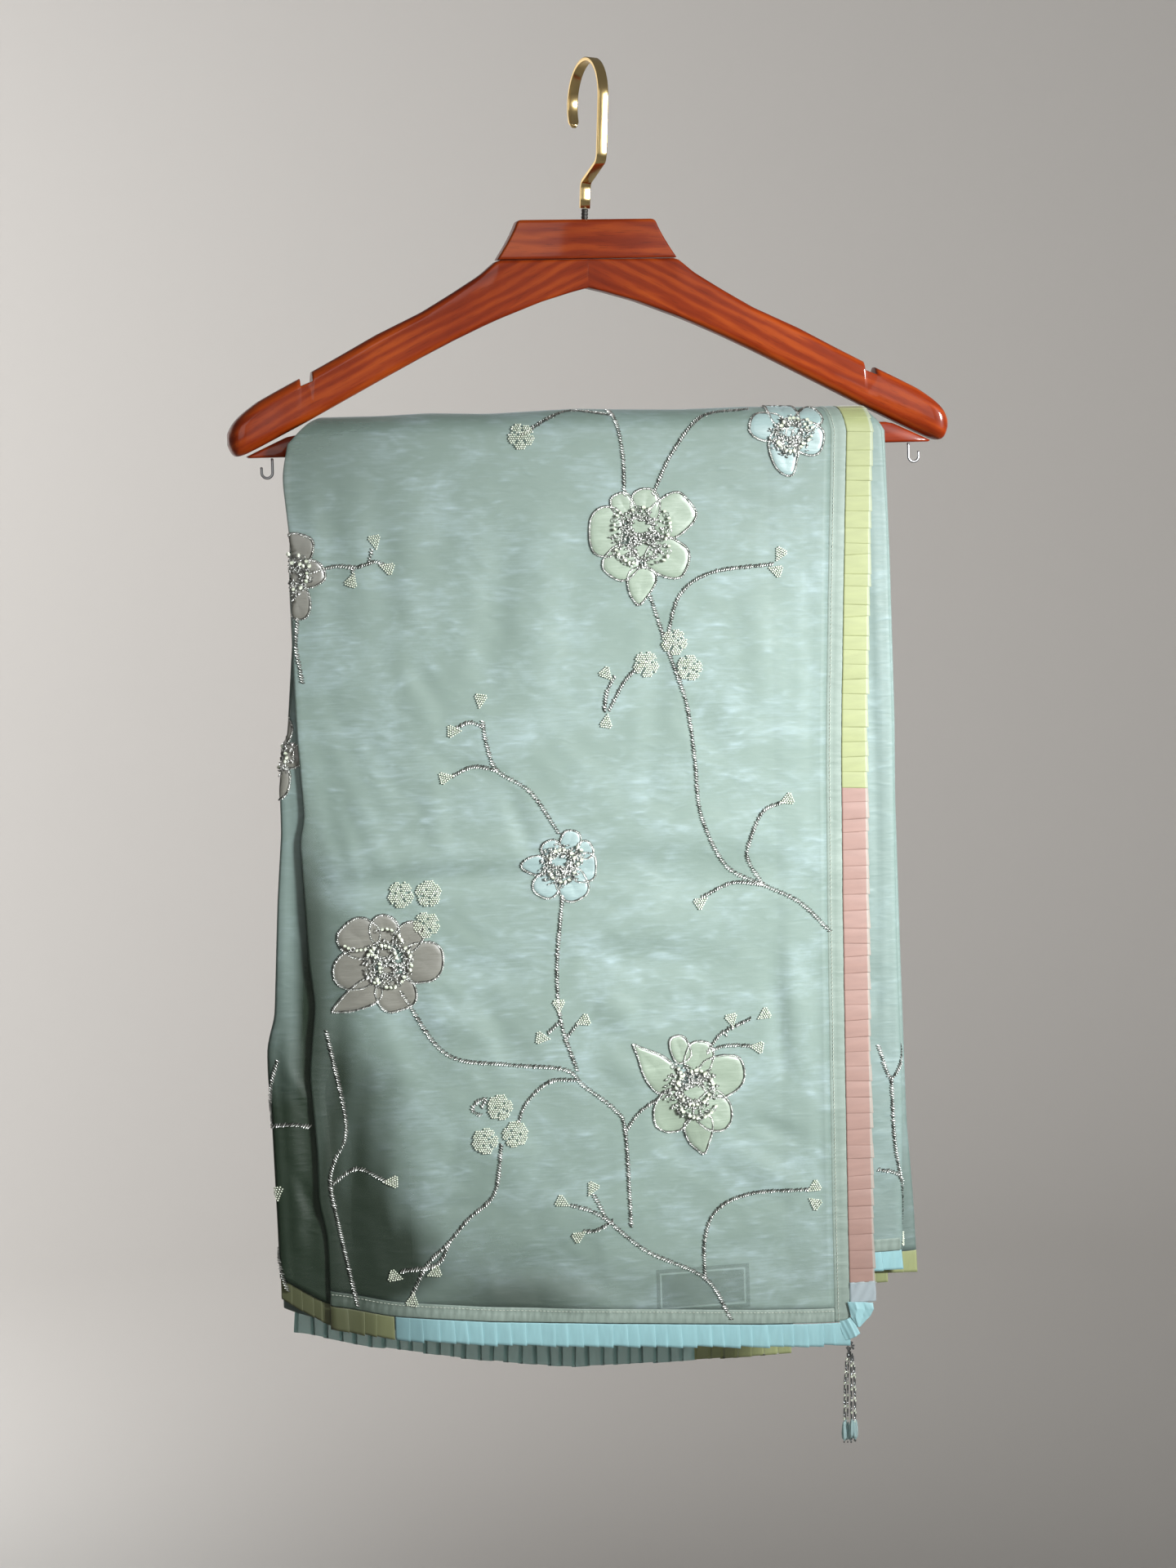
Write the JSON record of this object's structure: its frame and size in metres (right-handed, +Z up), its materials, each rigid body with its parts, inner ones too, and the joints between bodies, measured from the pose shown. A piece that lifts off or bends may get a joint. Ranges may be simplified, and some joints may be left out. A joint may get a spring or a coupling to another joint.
{
  "type": "folded saree on a wooden hanger",
  "caption": "Folded embroidered organza saree with pleated ribbon edges and a bead tassel, draped over the trouser bar of a wooden hanger with a flat metal hook.",
  "frame": {"origin": "inner top of the hook, where the rail bears", "axes": "+Z up, -Y towards the front of the hanger, +X along the trouser bar to the right as seen from the front"},
  "size_m": [0.451, 0.0813, 0.8664],
  "materials": {
    "wood": "reddish stain under satin lacquer",
    "brass": "polished gold plate",
    "steel": "plain wire",
    "organza": "translucent mint organza with a soft sheen",
    "ribbon_yellow": "matt pleated ribbon",
    "ribbon_pink": "matt pleated ribbon",
    "ribbon_blue": "matt pleated ribbon",
    "label_grey": "plain woven patch",
    "beads": "glass and metal beads"
  },
  "bodies": {
    "root": {"head_block": "wood", "left_arm": "wood", "right_arm": "wood", "trouser_bar": "wood", "screw_hook_left": "steel", "screw_hook_right": "steel", "hook": "brass", "hook_stem": "steel", "pallu_drape": "organza", "left_fold": "organza", "right_fold_near": "organza", "right_fold_far": "organza", "inner_folds": "organza", "side_seam_band": "organza", "side_ribbon_yellow": "ribbon_yellow", "side_ribbon_pink_front": "ribbon_pink", "side_ribbon_pink_back": "ribbon_pink", "side_ribbon_end": "ribbon_blue", "corner_fold": "ribbon_blue", "front_hem_band": "organza", "back_hem_band": "organza", "front_ruffle_yellow": "ribbon_yellow", "front_ruffle_blue": "ribbon_blue", "back_ruffle_blue": "ribbon_blue", "back_ruffle_yellow": "ribbon_yellow", "left_fold_ruffle": "ribbon_yellow", "right_near_ruffle": "ribbon_blue", "right_far_ruffle": "ribbon_yellow", "label": "label_grey", "tassel": "beads"}
  },
  "joints": []
}
